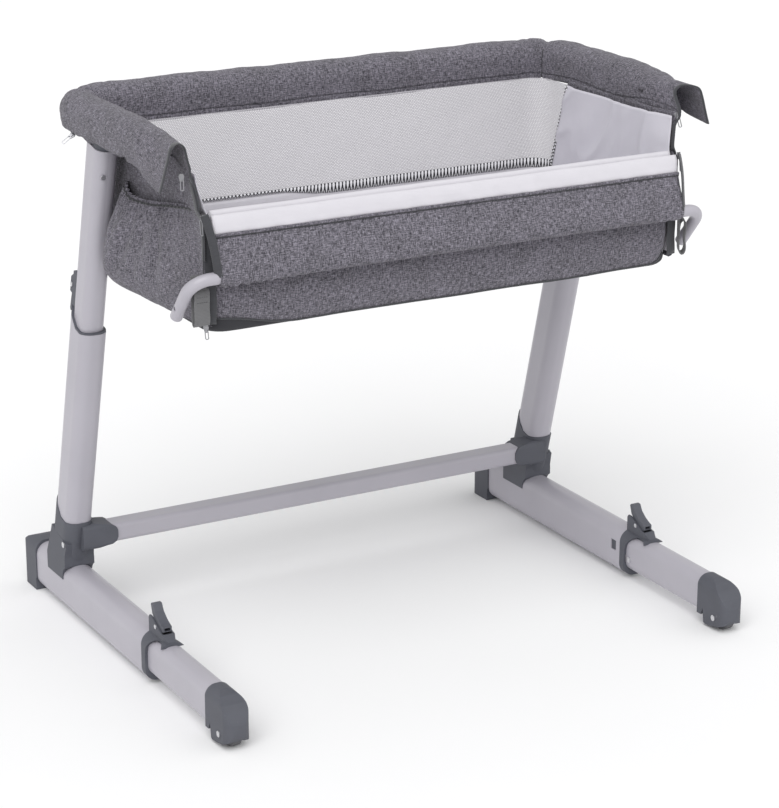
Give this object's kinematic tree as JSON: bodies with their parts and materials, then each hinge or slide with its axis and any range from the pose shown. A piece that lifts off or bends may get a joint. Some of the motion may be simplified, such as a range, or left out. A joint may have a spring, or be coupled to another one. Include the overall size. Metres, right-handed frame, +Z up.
{
  "type": "bassinet on stand",
  "caption": "Bedside bassinet with a padded fabric basket, a fold-down zip side and a height-adjustable tube stand on sliding feet with rollers.",
  "frame": {"origin": "centre of the footprint, on the floor", "axes": "+X towards the right-hand end, along the long side; +Y from the open front to the back; +Z up"},
  "size_m": [0.958, 0.79, 0.895],
  "materials": {
    "tube_paint": "satin",
    "dark_plastic": "fine grain",
    "lever_plastic": "fine grain",
    "rivet_steel": "satin",
    "spring_steel": "satin",
    "roller_plastic": "satin",
    "board": "hardboard",
    "grey_linen": "heather linen weave",
    "lining": "soft cotton",
    "mesh": "air mesh",
    "zip_tape": "woven tape",
    "zip_metal": "polished",
    "webbing": "ribbed webbing"
  },
  "bodies": {
    "stand": {"outer_rail_left": "tube_paint", "outer_rail_right": "tube_paint", "rear_foot_left": "dark_plastic", "rear_foot_right": "dark_plastic", "rail_collar_left": "dark_plastic", "rail_collar_right": "dark_plastic", "rail_latch_pins": "rivet_steel", "leg_socket_left": "dark_plastic", "leg_socket_right": "dark_plastic", "socket_screws": "rivet_steel", "crossbar": "tube_paint", "lower_leg_left": "tube_paint", "lower_leg_right": "tube_paint", "leg_collar_left": "dark_plastic", "leg_collar_right": "dark_plastic", "leg_latch_pins": "rivet_steel"},
    "left_rail_lever": {"rail_latch_left": "lever_plastic"},
    "left_leg_lever": {"leg_latch_left": "lever_plastic"},
    "left_sliding_rail": {"inner_rail_left": "tube_paint", "front_foot_left": "dark_plastic", "roller_axle_left": "rivet_steel", "rail_spring_left": "spring_steel"},
    "left_rail_button": {"rail_button_left": "rivet_steel"},
    "left_roller": {"roller_left": "roller_plastic"},
    "right_rail_lever": {"rail_latch_right": "lever_plastic"},
    "right_leg_lever": {"leg_latch_right": "lever_plastic"},
    "right_sliding_rail": {"inner_rail_right": "tube_paint", "front_foot_right": "dark_plastic", "roller_axle_right": "rivet_steel", "rail_spring_right": "spring_steel"},
    "right_rail_button": {"rail_button_right": "rivet_steel"},
    "right_roller": {"roller_right": "roller_plastic"},
    "basket": {"upper_leg_left": "tube_paint", "upper_leg_right": "tube_paint", "leg_bracket_left": "dark_plastic", "leg_bracket_right": "dark_plastic", "leg_screws": "rivet_steel", "top_frame": "tube_paint", "base_frame": "tube_paint", "base_board": "board", "end_wall_left": "lining", "end_wall_right": "lining", "back_wall": "mesh", "front_panel": "grey_linen", "rail_cover_left": "grey_linen", "rail_cover_right": "grey_linen", "rail_cover_back": "grey_linen", "side_pocket": "grey_linen", "zip_tape_left": "zip_tape", "zip_tape_right": "zip_tape", "corner_strap_left": "webbing", "corner_strap_right": "webbing"},
    "sleeping_pad": {"mattress": "lining"},
    "drop_flap": {"drop_side": "grey_linen"},
    "drop_tube": {"drop_bar": "tube_paint"},
    "left_zip_runner": {"zip_slider_left": "zip_metal"},
    "right_zip_runner": {"zip_slider_right": "zip_metal"}
  },
  "joints": [
    {"name": "left_rail_slide", "type": "slide", "parent": "stand", "child": "left_sliding_rail", "axis": [0, 1, 0], "range_m": [0, 0.14]},
    {"name": "left_button_press", "type": "slide", "parent": "left_sliding_rail", "child": "left_rail_button", "axis": [-1, 0, 0], "range_m": [0, 0.0018], "stiffness_N_per_m": 400, "springref_m": -0.003},
    {"name": "left_roller_spin", "type": "hinge", "parent": "left_sliding_rail", "child": "left_roller", "pos_m": [-0.45, -0.368, 0.022], "axis": [1, 0, 0], "continuous": true},
    {"name": "left_rail_latch_lift", "type": "hinge", "parent": "stand", "child": "left_rail_lever", "pos_m": [-0.45, -0.124, 0.101], "axis": [1, 0, 0], "range_deg": [0, 14], "stiffness_Nm_per_rad": 0.3, "springref_deg": -17.19},
    {"name": "left_leg_latch_pull", "type": "hinge", "parent": "stand", "child": "left_leg_lever", "pos_m": [-0.45, 0.15366, 0.58632], "axis": [1, 0, 0], "range_deg": [0, 14], "stiffness_Nm_per_rad": 0.3, "springref_deg": -17.19},
    {"name": "right_rail_slide", "type": "slide", "parent": "stand", "child": "right_sliding_rail", "axis": [0, 1, 0], "range_m": [0, 0.14]},
    {"name": "right_button_press", "type": "slide", "parent": "right_sliding_rail", "child": "right_rail_button", "axis": [1, 0, 0], "range_m": [0, 0.0018], "stiffness_N_per_m": 400, "springref_m": -0.003},
    {"name": "right_roller_spin", "type": "hinge", "parent": "right_sliding_rail", "child": "right_roller", "pos_m": [0.45, -0.368, 0.022], "axis": [1, 0, 0], "continuous": true},
    {"name": "right_rail_latch_lift", "type": "hinge", "parent": "stand", "child": "right_rail_lever", "pos_m": [0.45, -0.124, 0.101], "axis": [1, 0, 0], "range_deg": [0, 14], "stiffness_Nm_per_rad": 0.3, "springref_deg": -17.19},
    {"name": "right_leg_latch_pull", "type": "hinge", "parent": "stand", "child": "right_leg_lever", "pos_m": [0.45, 0.15366, 0.58632], "axis": [1, 0, 0], "range_deg": [0, 14], "stiffness_Nm_per_rad": 0.3, "springref_deg": -17.19},
    {"name": "height_adjust", "type": "slide", "parent": "stand", "child": "basket", "axis": [0, -0.2588, 0.9659], "range_m": [-0.15, 0.06]},
    {"name": "mattress_lift", "type": "slide", "parent": "basket", "child": "sleeping_pad", "axis": [0, 0, 1], "range_m": [0, 0.24]},
    {"name": "side_fold", "type": "hinge", "parent": "basket", "child": "drop_flap", "pos_m": [0, -0.246, 0.779], "axis": [-1, 0, 0], "range_deg": [0, 180]},
    {"name": "bar_turn", "type": "hinge", "parent": "drop_flap", "child": "drop_tube", "pos_m": [0, -0.265, 0.689], "axis": [1, 0, 0], "range_deg": [0, 230]},
    {"name": "left_zip", "type": "slide", "parent": "basket", "child": "left_zip_runner", "axis": [0, 0, -1], "range_m": [0, 0.06]},
    {"name": "right_zip", "type": "slide", "parent": "basket", "child": "right_zip_runner", "axis": [0, 0, -1], "range_m": [0, 0.06]}
  ],
  "couplings": [
    {"joint": "bar_turn", "follows": "side_fold", "ratio": 1.2778}
  ]
}
